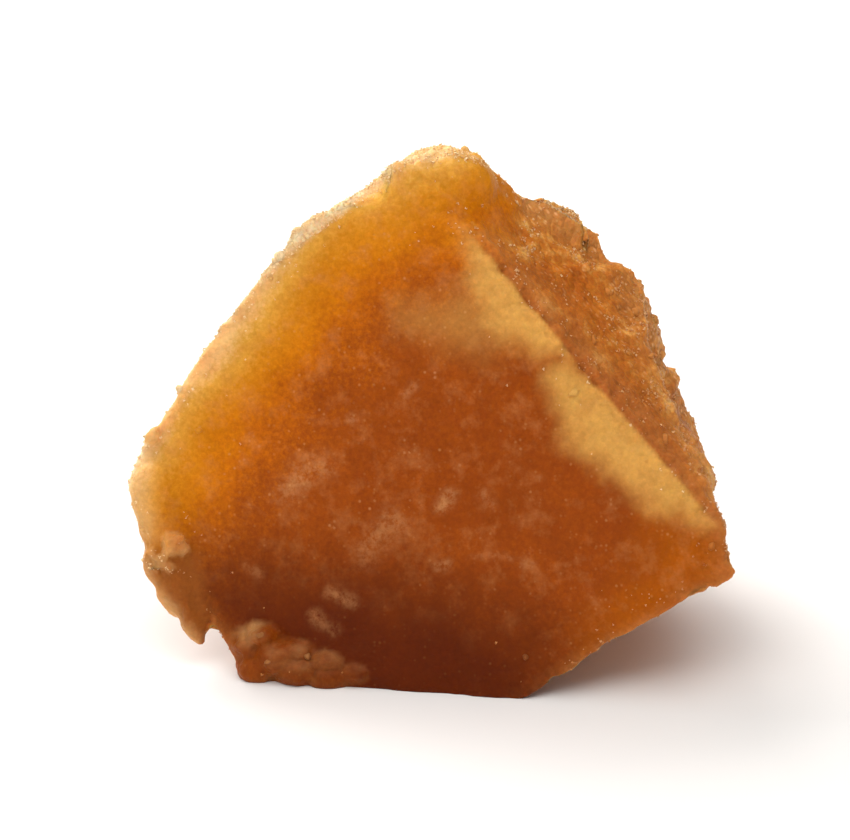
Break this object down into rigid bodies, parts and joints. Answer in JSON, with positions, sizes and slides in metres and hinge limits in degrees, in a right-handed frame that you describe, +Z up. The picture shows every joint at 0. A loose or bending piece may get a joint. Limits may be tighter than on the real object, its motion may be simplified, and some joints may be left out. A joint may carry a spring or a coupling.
{
  "type": "jaggery lump",
  "caption": "Broken lump of jaggery with one smooth sliced face, a rounded top, rough torn sides and back, and a flat foot to stand on.",
  "frame": {"origin": "on the surface that the lump stands on, under the middle of its bounding box", "axes": "+Z up, +X to the right of the smooth face as seen, -Y out of the smooth face"},
  "size_m": [0.0482, 0.0336, 0.0408],
  "materials": {
    "jaggery": "waxy, slightly translucent caramel sugar, satin with fine sugar grain"
  },
  "bodies": {
    "root": {"jaggery_lump": "jaggery"}
  },
  "joints": []
}
